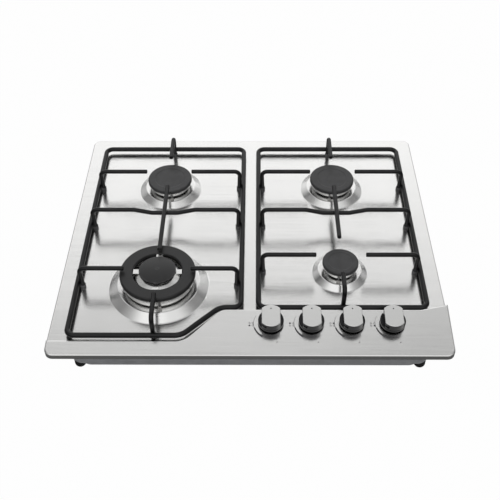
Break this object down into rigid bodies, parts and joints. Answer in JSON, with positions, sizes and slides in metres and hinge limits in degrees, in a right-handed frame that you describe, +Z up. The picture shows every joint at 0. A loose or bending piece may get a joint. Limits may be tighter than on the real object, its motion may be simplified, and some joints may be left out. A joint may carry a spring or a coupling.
{
  "type": "gas cooktop",
  "caption": "Built-in gas cooktop: brushed steel top, enamelled rod pan supports, ring-type wide burner, smaller burners, knobs along the front right.",
  "frame": {"origin": "middle of the cooktop in plan, on the worktop surface that its rim rests on", "axes": "+X to the user's right, +Y towards the wall, +Z up; the user stands at -Y"},
  "size_m": [0.58, 0.5, 0.106],
  "materials": {
    "satin_steel": "brushed",
    "grey_sheet": "satin",
    "black_enamel": "enamel",
    "black_rubber": "matt",
    "foam_seal": "matt",
    "cast_aluminium": "cast",
    "brass": "machined",
    "zinc_steel": "plated",
    "white_ceramic": "glazed",
    "tube_aluminium": "drawn",
    "black_plastic": "moulded",
    "lead_silicone": "satin",
    "battery_wrap": "gloss",
    "knob_metal": "satin",
    "spring_steel": "bright"
  },
  "bodies": {
    "hob": {"battery": "battery_wrap", "battery_door": "black_plastic", "battery_holder": "black_plastic", "bottom_tray": "grey_sheet", "burner_screws": "zinc_steel", "electrode_ceramics": "white_ceramic", "electrode_pins": "zinc_steel", "gas_jets": "brass", "gas_manifold": "zinc_steel", "hob_top": "satin_steel", "ignition_harness": "black_plastic", "ignition_leads": "lead_silicone", "inlet_elbow": "brass", "manifold_brackets": "zinc_steel", "rear_left_burner_base": "cast_aluminium", "rear_left_feed_tube": "tube_aluminium", "rear_right_burner_base": "cast_aluminium", "rear_right_feed_tube": "tube_aluminium", "return_spring_1": "spring_steel", "return_spring_2": "spring_steel", "return_spring_3": "spring_steel", "return_spring_4": "spring_steel", "rubber_feet": "black_rubber", "simmer_burner_base": "cast_aluminium", "simmer_feed_tube": "tube_aluminium", "spark_generator": "black_plastic", "spindle_seals": "black_rubber", "tap_bodies": "cast_aluminium", "tray_screws": "zinc_steel", "tube_nuts": "brass", "wok_burner_base": "cast_aluminium", "wok_feed_tube": "tube_aluminium", "worktop_seal": "foam_seal"},
    "left_pan_support": {"left_grate_frame": "black_enamel", "left_grate_bars": "black_enamel", "left_grate_tips": "black_rubber"},
    "right_pan_support": {"right_grate_frame": "black_enamel", "right_grate_bars": "black_enamel", "right_grate_tips": "black_rubber"},
    "rear_left_spreader": {"rear_left_crown": "cast_aluminium"},
    "rear_right_spreader": {"rear_right_crown": "cast_aluminium"},
    "simmer_spreader": {"simmer_crown": "cast_aluminium"},
    "wok_spreader": {"wok_crown": "cast_aluminium"},
    "rear_left_lid": {"rear_left_cap": "black_enamel"},
    "rear_right_lid": {"rear_right_cap": "black_enamel"},
    "simmer_lid": {"simmer_cap": "black_enamel"},
    "wok_ring_lid": {"wok_ring_cap": "black_enamel"},
    "wok_centre_lid": {"wok_centre_cap": "black_enamel"},
    "tap_1": {"tap_plug_1": "brass"},
    "knob_unit_1": {"knob_1": "knob_metal", "tap_spindle_1": "zinc_steel"},
    "tap_2": {"tap_plug_2": "brass"},
    "knob_unit_2": {"knob_2": "knob_metal", "tap_spindle_2": "zinc_steel"},
    "tap_3": {"tap_plug_3": "brass"},
    "knob_unit_3": {"knob_3": "knob_metal", "tap_spindle_3": "zinc_steel"},
    "tap_4": {"tap_plug_4": "brass"},
    "knob_unit_4": {"knob_4": "knob_metal", "tap_spindle_4": "zinc_steel"}
  },
  "joints": [
    {"name": "left_pan_support_lift", "type": "slide", "parent": "hob", "child": "left_pan_support", "axis": [0, 0, 1], "range_m": [0, 0.15]},
    {"name": "right_pan_support_lift", "type": "slide", "parent": "hob", "child": "right_pan_support", "axis": [0, 0, 1], "range_m": [0, 0.15]},
    {"name": "rear_left_spreader_lift", "type": "slide", "parent": "hob", "child": "rear_left_spreader", "axis": [0, 0, 1], "range_m": [0, 0.06]},
    {"name": "rear_right_spreader_lift", "type": "slide", "parent": "hob", "child": "rear_right_spreader", "axis": [0, 0, 1], "range_m": [0, 0.06]},
    {"name": "simmer_spreader_lift", "type": "slide", "parent": "hob", "child": "simmer_spreader", "axis": [0, 0, 1], "range_m": [0, 0.06]},
    {"name": "wok_spreader_lift", "type": "slide", "parent": "hob", "child": "wok_spreader", "axis": [0, 0, 1], "range_m": [0, 0.002]},
    {"name": "rear_left_lid_lift", "type": "slide", "parent": "rear_left_spreader", "child": "rear_left_lid", "axis": [0, 0, 1], "range_m": [0, 0.04]},
    {"name": "rear_right_lid_lift", "type": "slide", "parent": "rear_right_spreader", "child": "rear_right_lid", "axis": [0, 0, 1], "range_m": [0, 0.04]},
    {"name": "simmer_lid_lift", "type": "slide", "parent": "simmer_spreader", "child": "simmer_lid", "axis": [0, 0, 1], "range_m": [0, 0.04]},
    {"name": "wok_ring_lid_lift", "type": "slide", "parent": "wok_spreader", "child": "wok_ring_lid", "axis": [0, 0, 1], "range_m": [0, 0.002]},
    {"name": "wok_centre_lid_lift", "type": "slide", "parent": "wok_spreader", "child": "wok_centre_lid", "axis": [0, 0, 1], "range_m": [0, 0.06]},
    {"name": "tap_1_turn", "type": "hinge", "parent": "hob", "child": "tap_1", "pos_m": [0.0308, -0.196, 0.01598], "axis": [0, -0.1462, 0.9893], "range_deg": [0, 210]},
    {"name": "knob_1_press", "type": "slide", "parent": "tap_1", "child": "knob_unit_1", "axis": [0, -0.1462, 0.9893], "range_m": [-0.003, 0], "stiffness_N_per_m": 600, "springref_m": 0.004, "deforming": ["return_spring_1"]},
    {"name": "tap_2_turn", "type": "hinge", "parent": "hob", "child": "tap_2", "pos_m": [0.0891, -0.196, 0.01598], "axis": [0, -0.1462, 0.9893], "range_deg": [0, 210]},
    {"name": "knob_2_press", "type": "slide", "parent": "tap_2", "child": "knob_unit_2", "axis": [0, -0.1462, 0.9893], "range_m": [-0.003, 0], "stiffness_N_per_m": 600, "springref_m": 0.004, "deforming": ["return_spring_2"]},
    {"name": "tap_3_turn", "type": "hinge", "parent": "hob", "child": "tap_3", "pos_m": [0.1474, -0.196, 0.01598], "axis": [0, -0.1462, 0.9893], "range_deg": [0, 210]},
    {"name": "knob_3_press", "type": "slide", "parent": "tap_3", "child": "knob_unit_3", "axis": [0, -0.1462, 0.9893], "range_m": [-0.003, 0], "stiffness_N_per_m": 600, "springref_m": 0.004, "deforming": ["return_spring_3"]},
    {"name": "tap_4_turn", "type": "hinge", "parent": "hob", "child": "tap_4", "pos_m": [0.2057, -0.196, 0.01598], "axis": [0, -0.1462, 0.9893], "range_deg": [0, 210]},
    {"name": "knob_4_press", "type": "slide", "parent": "tap_4", "child": "knob_unit_4", "axis": [0, -0.1462, 0.9893], "range_m": [-0.003, 0], "stiffness_N_per_m": 600, "springref_m": 0.004, "deforming": ["return_spring_4"]}
  ]
}
